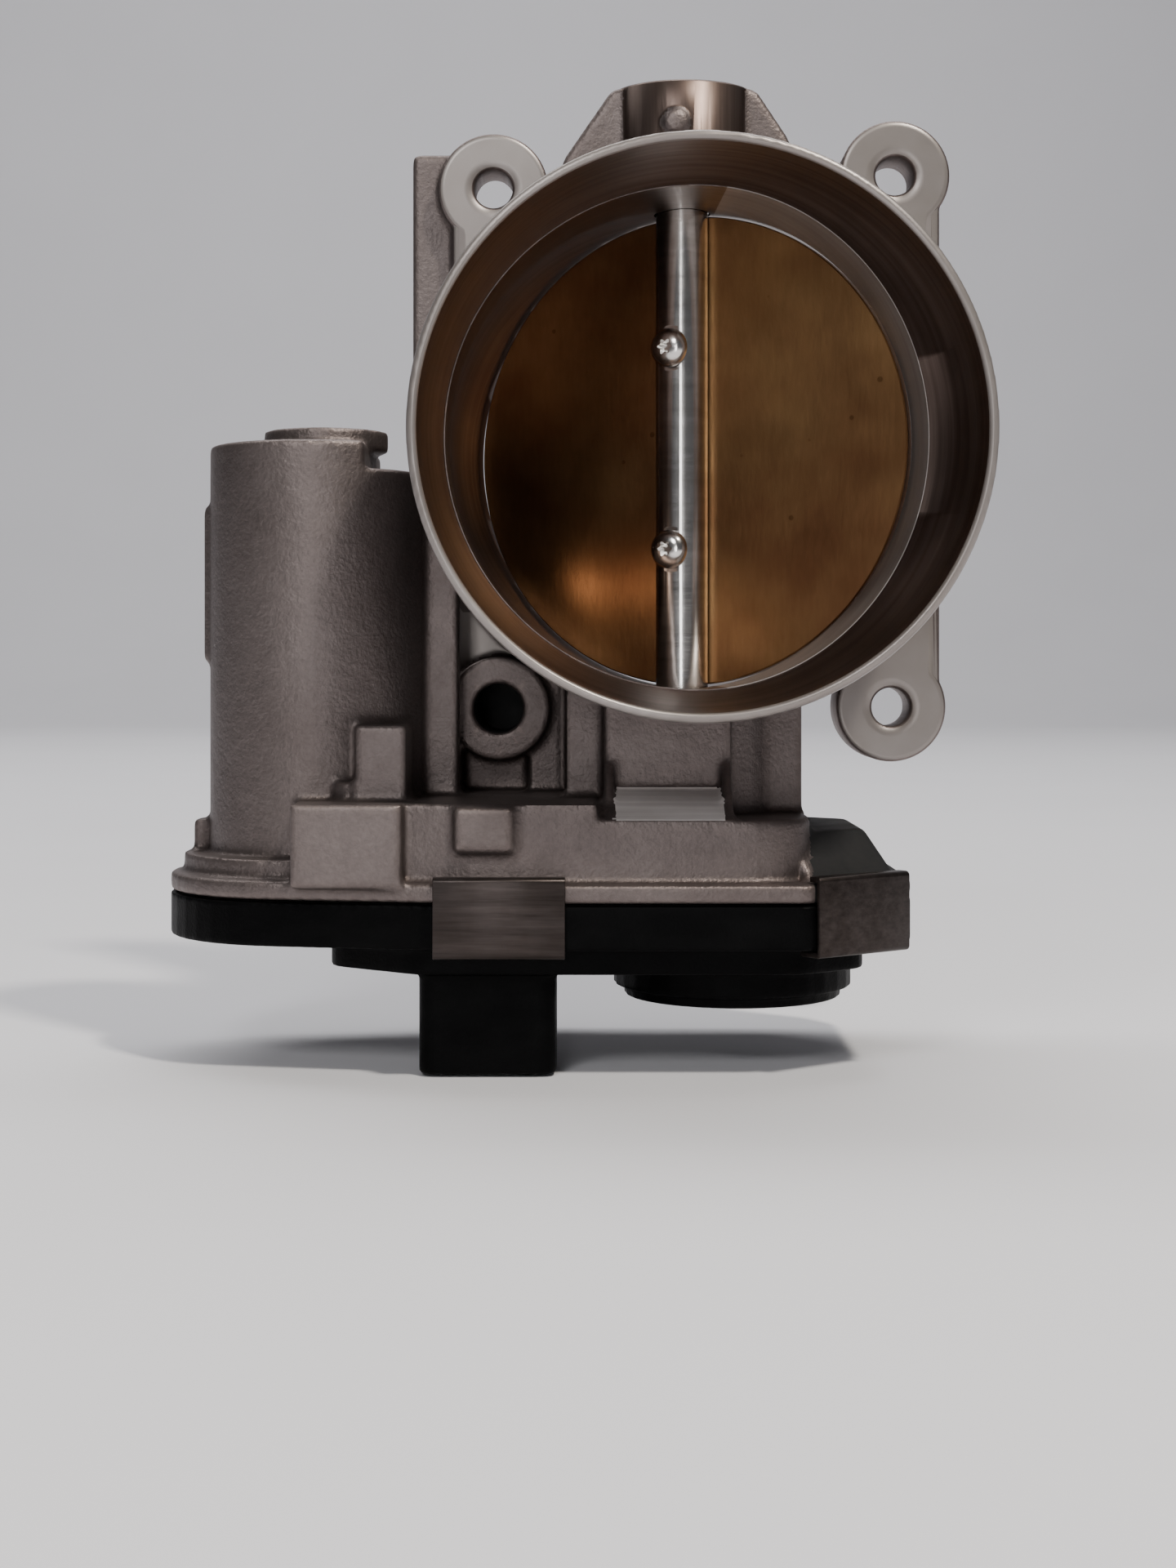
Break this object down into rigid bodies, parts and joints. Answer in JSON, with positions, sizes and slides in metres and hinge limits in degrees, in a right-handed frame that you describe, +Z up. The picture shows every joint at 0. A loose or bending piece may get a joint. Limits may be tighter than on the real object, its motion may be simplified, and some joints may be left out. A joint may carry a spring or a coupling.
{
  "type": "electronic throttle body",
  "caption": "Motor-driven throttle body: die-cast bore and inlet spigot, butterfly plate on an upright shaft, side motor and a clipped gear cover with a downward plug socket.",
  "frame": {"origin": "on the bore axis, on the flange face that bolts to the intake manifold", "axes": "+Y along the bore the way the air flows, out of the manifold face; +Z up along the throttle shaft; +X to the right seen from the air inlet"},
  "size_m": [0.1519, 0.082, 0.1829],
  "materials": {
    "cast_aluminium": "sand-textured die casting with machined bore",
    "polished_steel": "ground and polished steel",
    "plate_brass": "turned brass with a dark gold tone",
    "black_plastic": "glass-filled black plastic",
    "spring_steel": "warm grey rolled spring steel",
    "gear_nylon": "natural moulded gear plastic",
    "rubber": "moulded rubber",
    "magnet": "sintered magnet",
    "laminated_steel": "stacked laminations",
    "copper": "enamelled copper",
    "circuit_board": "solder-masked board"
  },
  "bodies": {
    "housing": {"throttle_housing": "cast_aluminium", "upper_needle_bearing": "polished_steel", "upper_shaft_seal": "rubber", "lower_shaft_seal": "rubber", "shaft_end_plug": "polished_steel", "lower_bearing_outer_ring": "polished_steel", "return_spring": "spring_steel", "idler_pin": "polished_steel", "closed_stop_screw": "polished_steel", "motor_can": "spring_steel", "motor_end_plate": "spring_steel", "motor_screw_front": "polished_steel", "motor_screw_back": "polished_steel", "motor_magnet_left": "magnet", "motor_magnet_right": "magnet", "motor_brush_card": "gear_nylon", "motor_rear_bush": "plate_brass", "motor_wave_washer": "spring_steel", "gear_cover": "black_plastic", "cover_seal": "rubber", "cover_clip_front": "spring_steel", "cover_clip_front_right": "spring_steel", "cover_clip_back": "spring_steel", "cover_clip_back_right": "spring_steel", "sensor_board": "circuit_board", "sensor_chip_left": "black_plastic", "sensor_chip_right": "black_plastic", "connector_terminal_1": "copper", "connector_terminal_2": "copper", "connector_terminal_3": "copper", "connector_terminal_4": "copper", "connector_terminal_5": "copper", "connector_terminal_6": "copper"},
    "throttle": {"throttle_shaft": "polished_steel", "throttle_plate": "plate_brass", "plate_screw_upper": "polished_steel", "plate_screw_lower": "polished_steel", "sector_gear": "gear_nylon", "sensor_magnet": "magnet", "lower_bearing_inner_ring": "polished_steel"},
    "idler": {"idler_gear": "gear_nylon"},
    "motor_rotor": {"motor_shaft": "polished_steel", "motor_armature_core": "laminated_steel", "motor_armature_winding": "copper", "motor_commutator": "copper", "motor_pinion": "plate_brass"},
    "ball_cage": {"lower_bearing_ball_cage": "polished_steel"}
  },
  "joints": [
    {"name": "throttle_turn", "type": "hinge", "parent": "housing", "child": "throttle", "pos_m": [-0.0015, -0.036, 0], "axis": [0, 0, -1], "range_deg": [-8, 60], "stiffness_Nm_per_rad": 0.15, "deforming": ["return_spring"]},
    {"name": "idler_turn", "type": "hinge", "parent": "housing", "child": "idler", "pos_m": [-0.03775, -0.036, -0.078], "axis": [0, 0, -1], "range_deg": [-172.5, 23.2]},
    {"name": "motor_turn", "type": "hinge", "parent": "housing", "child": "motor_rotor", "pos_m": [-0.0706, -0.036, -0.04], "axis": [0, 0, -1], "range_deg": [-82, 613]},
    {"name": "ball_cage_turn", "type": "hinge", "parent": "housing", "child": "ball_cage", "pos_m": [-0.0015, -0.036, -0.0545], "axis": [0, 0, -1], "range_deg": [-3.4, 24.9]}
  ],
  "couplings": [
    {"joint": "idler_turn", "follows": "throttle_turn", "ratio": -2.8667},
    {"joint": "motor_turn", "follows": "throttle_turn", "ratio": 10.213},
    {"joint": "ball_cage_turn", "follows": "throttle_turn", "ratio": 0.412}
  ]
}
